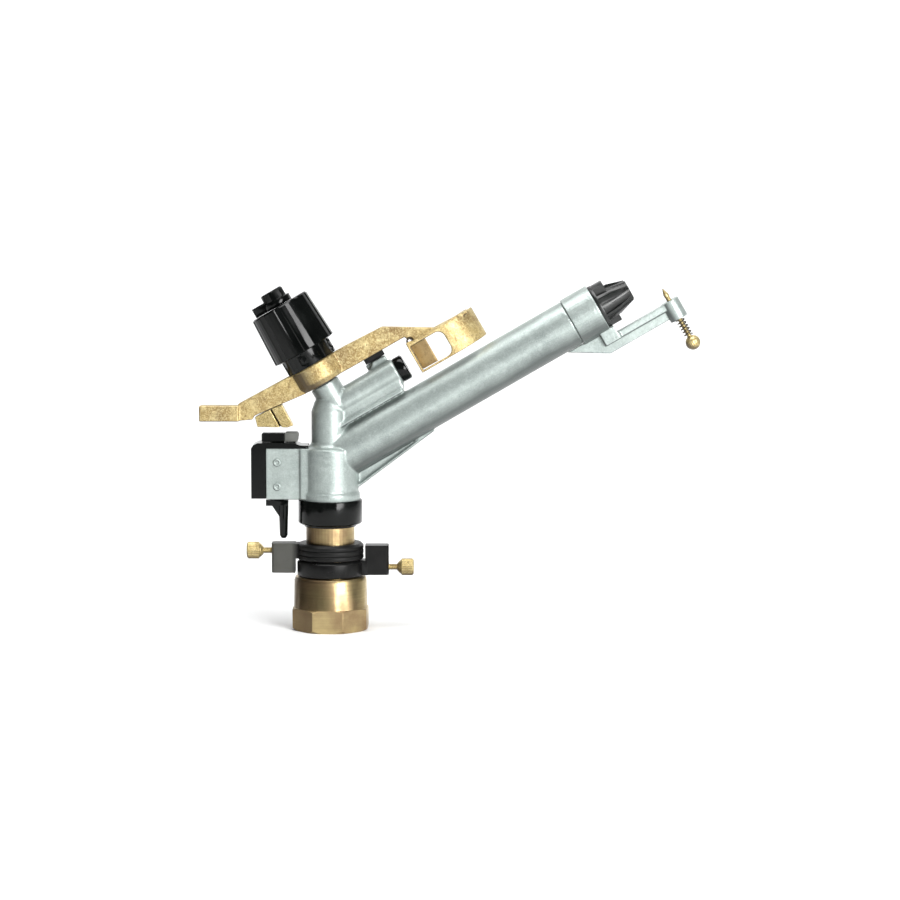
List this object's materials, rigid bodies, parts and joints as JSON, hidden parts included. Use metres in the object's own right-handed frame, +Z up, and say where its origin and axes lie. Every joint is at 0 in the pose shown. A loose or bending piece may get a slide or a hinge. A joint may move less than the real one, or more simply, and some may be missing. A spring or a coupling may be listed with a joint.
{
  "type": "impact sprinkler",
  "caption": "Medium impact sprinkler with a rising barrel, swinging spoon arm, adjustable stop rings, reversing box and jet breaker.",
  "frame": {"origin": "centre of the inlet nut's lower face, on the swivel axis", "axes": "+Z up along the swivel axis, +X the way the barrel points, -Y towards the side with the box's screws"},
  "size_m": [0.4644, 0.0702, 0.3254],
  "materials": {
    "cast_aluminium": "satin, sand-cast grain",
    "turned_brass": "turned",
    "cast_brass": "satin, sand-cast grain",
    "vane_brass": "matte",
    "black_plastic": "gloss",
    "ring_plastic": "satin",
    "grey_plastic": "matte",
    "rubber": "matte",
    "steel": "ground",
    "spring_steel": "drawn wire"
  },
  "bodies": {
    "inlet": {"inlet_nut": "turned_brass", "swivel_tube": "turned_brass", "inlet_gasket": "rubber"},
    "head": {"body_casting": "cast_aluminium", "swivel_collar": "black_plastic", "lower_washer": "steel", "rubber_washer": "rubber", "wear_washer": "vane_brass", "upper_seal": "rubber", "stream_straightener": "grey_plastic", "breaker_bracket": "cast_aluminium", "nozzle_nut": "black_plastic", "nozzle_ring": "black_plastic", "nozzle_gasket": "rubber", "drive_cap": "black_plastic", "drive_nozzle": "turned_brass", "bumper_pad": "rubber", "pivot_pin": "steel", "pivot_washer": "steel", "pivot_nut": "steel", "spring_cap": "black_plastic", "torsion_spring": "spring_steel", "breaker_spring": "spring_steel", "trip_housing": "black_plastic", "housing_screw_lower": "cast_aluminium", "housing_screw_upper": "cast_aluminium", "trip_shaft": "steel", "detent_plunger": "steel", "detent_spring": "spring_steel"},
    "arm": {"drive_arm": "cast_brass", "lower_bush": "steel", "upper_bush": "steel", "drive_vane": "vane_brass", "vane_pin": "spring_steel", "striker": "cast_brass"},
    "adjuster": {"tension_adjuster": "black_plastic"},
    "needle": {"breaker_screw": "turned_brass", "breaker_knob": "turned_brass"},
    "lever": {"trip_lever": "black_plastic"},
    "dog": {"trip_dog": "black_plastic", "dog_insert": "grey_plastic"},
    "lower_stop": {"lower_stop_ring": "ring_plastic", "lower_stop_insert": "turned_brass"},
    "upper_stop": {"upper_stop_ring": "ring_plastic", "upper_stop_insert": "turned_brass"},
    "lower_screw": {"lower_stop_screw": "turned_brass"},
    "upper_screw": {"upper_stop_screw": "turned_brass"}
  },
  "joints": [
    {"name": "head_turn", "type": "hinge", "parent": "inlet", "child": "head", "pos_m": [0, 0, 0.11], "axis": [0, 0, 1], "continuous": true},
    {"name": "arm_swing", "type": "hinge", "parent": "head", "child": "arm", "pos_m": [-0.00495, 0, 0.22948], "axis": [0.5, 0, -0.866], "range_deg": [0, 75], "stiffness_Nm_per_rad": 0.25, "springref_deg": -34.38, "deforming": ["torsion_spring"]},
    {"name": "adjuster_turn", "type": "hinge", "parent": "head", "child": "adjuster", "pos_m": [-0.0472, 0, 0.30265], "axis": [-0.5, 0, 0.866], "range_deg": [0, 300]},
    {"name": "needle_slide", "type": "slide", "parent": "head", "child": "needle", "axis": [-0.5, 0, 0.866], "range_m": [0, 0.01], "deforming": ["breaker_spring"]},
    {"name": "lever_tilt", "type": "hinge", "parent": "head", "child": "lever", "pos_m": [-0.0495, 0, 0.146], "axis": [1, 0, 0], "range_deg": [-10, 10]},
    {"name": "dog_slide", "type": "slide", "parent": "head", "child": "dog", "axis": [0, 1, 0], "range_m": [-0.0047, 0.0047]},
    {"name": "lower_stop_turn", "type": "hinge", "parent": "inlet", "child": "lower_stop", "pos_m": [0, 0, 0.058], "axis": [0, 0, 1], "range_deg": [-75, 75]},
    {"name": "upper_stop_turn", "type": "hinge", "parent": "inlet", "child": "upper_stop", "pos_m": [0, 0, 0.0737], "axis": [0, 0, 1], "range_deg": [-75, 75]},
    {"name": "lower_screw_turn", "type": "hinge", "parent": "lower_stop", "child": "lower_screw", "pos_m": [0.06, 0, 0.05795], "axis": [1, 0, 0], "range_deg": [0, 720]},
    {"name": "upper_screw_turn", "type": "hinge", "parent": "upper_stop", "child": "upper_screw", "pos_m": [-0.06, 0, 0.07365], "axis": [-1, 0, 0], "range_deg": [0, 720]}
  ],
  "couplings": [
    {"joint": "dog_slide", "follows": "lever_tilt", "m_per_rad": -0.0259}
  ]
}
